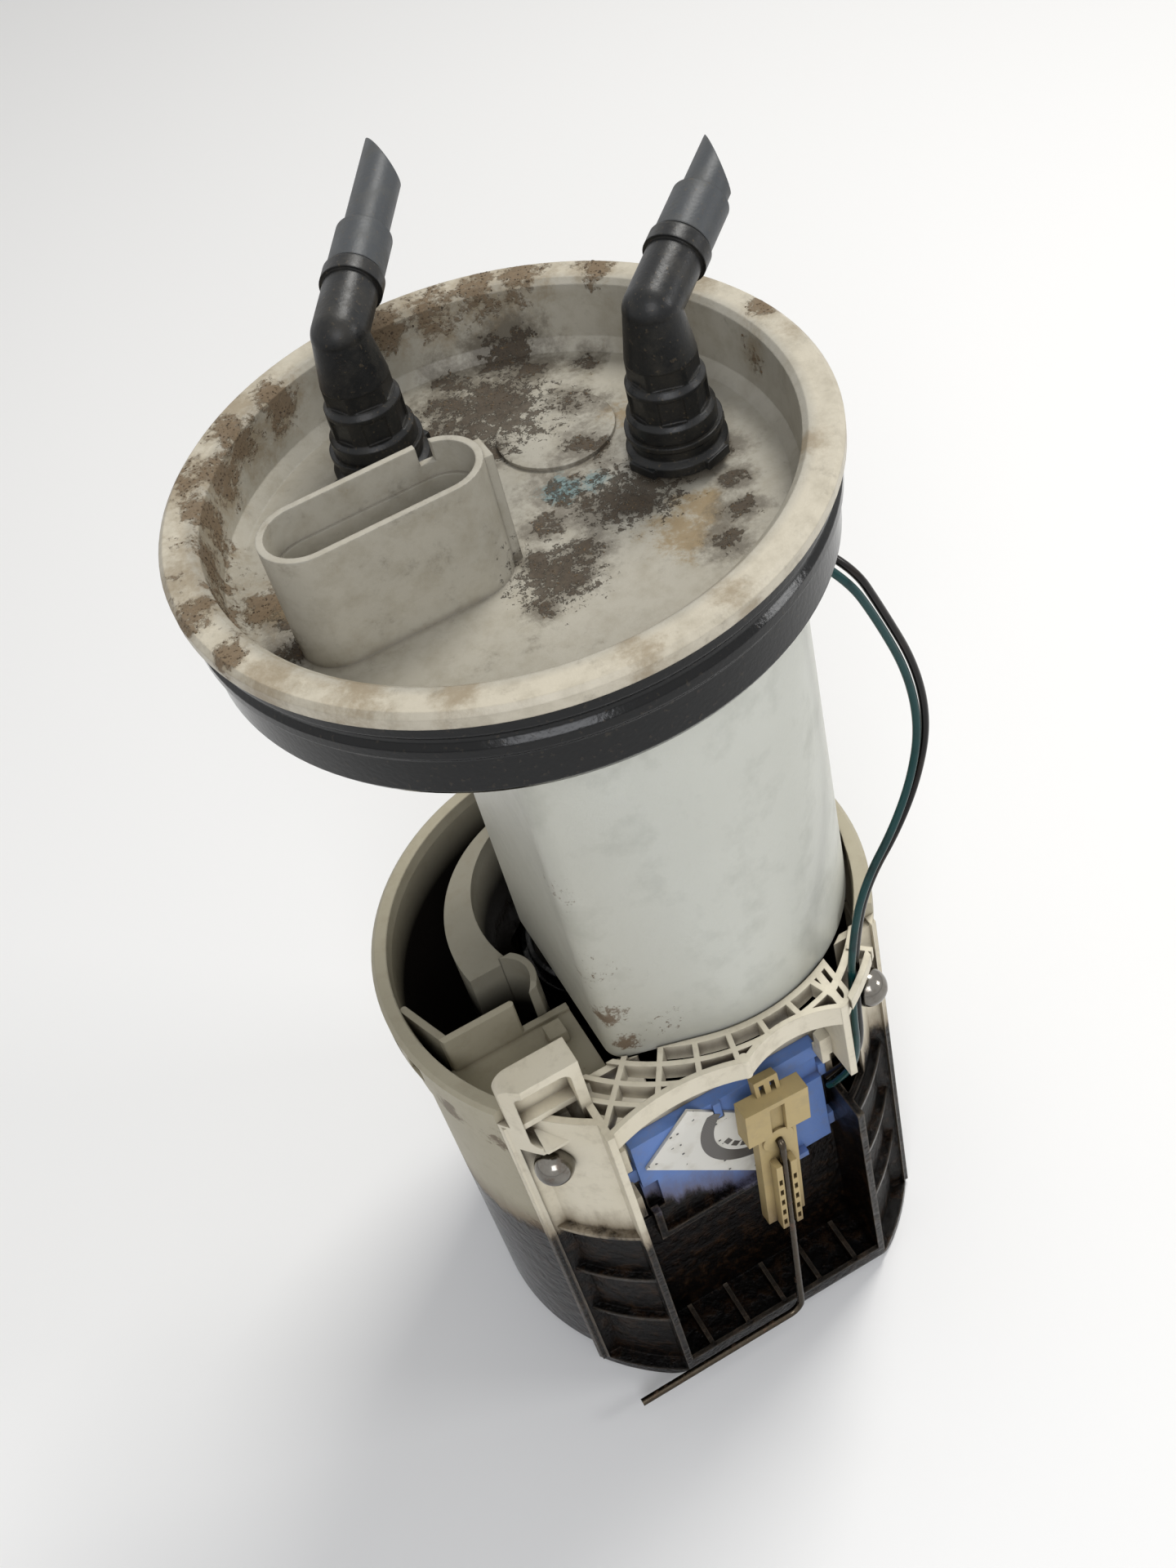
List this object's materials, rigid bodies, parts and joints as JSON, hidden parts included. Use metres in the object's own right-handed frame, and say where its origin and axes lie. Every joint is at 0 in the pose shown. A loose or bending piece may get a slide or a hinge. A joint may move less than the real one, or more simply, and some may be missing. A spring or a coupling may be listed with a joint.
{
  "type": "fuel pump",
  "caption": "In-tank fuel delivery unit with a sealed flange, hose elbows, filter column, swirl pot, electric pump, level sender on a ribbed frame and a spring-loaded telescoping mount.",
  "frame": {"origin": "centre of the mounting flange, level with the top of its rim", "axes": "+Z along the column from the pot up to the hoses; -Y is the side with the level sender and +X the side with the sender wires"},
  "size_m": [0.1283, 0.1393, 0.2895],
  "materials": {
    "flange_plastic": "satin",
    "seal_rubber": "satin",
    "contact_metal": "satin",
    "black_plastic": "satin",
    "grey_hose": "satin",
    "canister_plastic": "satin",
    "filter_paper": "matte",
    "pot_plastic": "satin",
    "frame_plastic": "satin",
    "bright_steel": "polished",
    "blue_plastic": "satin",
    "ceramic": "satin",
    "track_ink": "matte",
    "tan_plastic": "satin",
    "rod_steel": "satin",
    "pump_steel": "satin",
    "ferrite": "matte",
    "strainer_cloth": "matte",
    "hose_plastic": "satin",
    "green_wire": "satin",
    "black_wire": "satin"
  },
  "bodies": {
    "pot_unit": {"swirl_pot": "pot_plastic", "inner_cup": "pot_plastic", "return_chute": "pot_plastic", "sender_frame": "frame_plastic", "ball_studs": "bright_steel", "sender_housing": "blue_plastic", "resistor_board": "ceramic", "resistor_track": "track_ink", "pump_casing": "pump_steel", "pump_outlet_head": "black_plastic", "pump_inlet_head": "black_plastic", "pump_magnets": "ferrite", "pump_brushes": "ferrite", "pump_sleeve": "seal_rubber", "pump_strainer": "strainer_cloth", "hose_clip_pump": "bright_steel", "delivery_hose": "hose_plastic", "suspension_spring": "bright_steel", "wire_loop_green": "green_wire", "wire_loop_black": "black_wire", "wire_tail_green": "green_wire", "wire_tail_black": "black_wire"},
    "flange_unit": {"flange": "flange_plastic", "gasket": "seal_rubber", "socket_pins": "contact_metal", "filter_canister": "canister_plastic", "filter_element": "filter_paper", "filter_end_plates": "canister_plastic", "guide_rod": "bright_steel", "guide_rod_clip": "bright_steel", "hose_clip_flange": "bright_steel", "wire_gland": "black_plastic"},
    "supply_line": {"supply_elbow": "black_plastic", "supply_collar": "black_plastic", "supply_hose_stub": "grey_hose"},
    "return_line": {"return_elbow": "black_plastic", "return_collar": "black_plastic", "return_hose_stub": "grey_hose"},
    "float_arm": {"wiper_holder": "tan_plastic", "wiper_contacts": "contact_metal", "float_rod": "rod_steel"},
    "pump_rotor": {"pump_shaft": "rod_steel", "pump_armature": "pump_steel", "pump_impeller": "black_plastic"}
  },
  "joints": [
    {"name": "suspension", "type": "slide", "parent": "pot_unit", "child": "flange_unit", "axis": [0, 0, 1], "range_m": [-0.02, 0], "stiffness_N_per_m": 500, "springref_m": 0.03, "deforming": ["suspension_spring", "delivery_hose", "wire_loop_green", "wire_loop_black"]},
    {"name": "float_swing", "type": "hinge", "parent": "pot_unit", "child": "float_arm", "pos_m": [0.007, -0.045, -0.18], "axis": [0, 1, 0], "range_deg": [0, 42]},
    {"name": "pump_spin", "type": "hinge", "parent": "pot_unit", "child": "pump_rotor", "pos_m": [0, 0.03, -0.21], "axis": [0, 0, 1], "continuous": true},
    {"name": "supply_swivel", "type": "hinge", "parent": "flange_unit", "child": "supply_line", "pos_m": [0.035, -0.0035, 0], "axis": [0, 0, 1], "range_deg": [-30, 30]},
    {"name": "return_swivel", "type": "hinge", "parent": "flange_unit", "child": "return_line", "pos_m": [-0.013, 0.031, 0], "axis": [0, 0, 1], "range_deg": [-30, 30]}
  ]
}
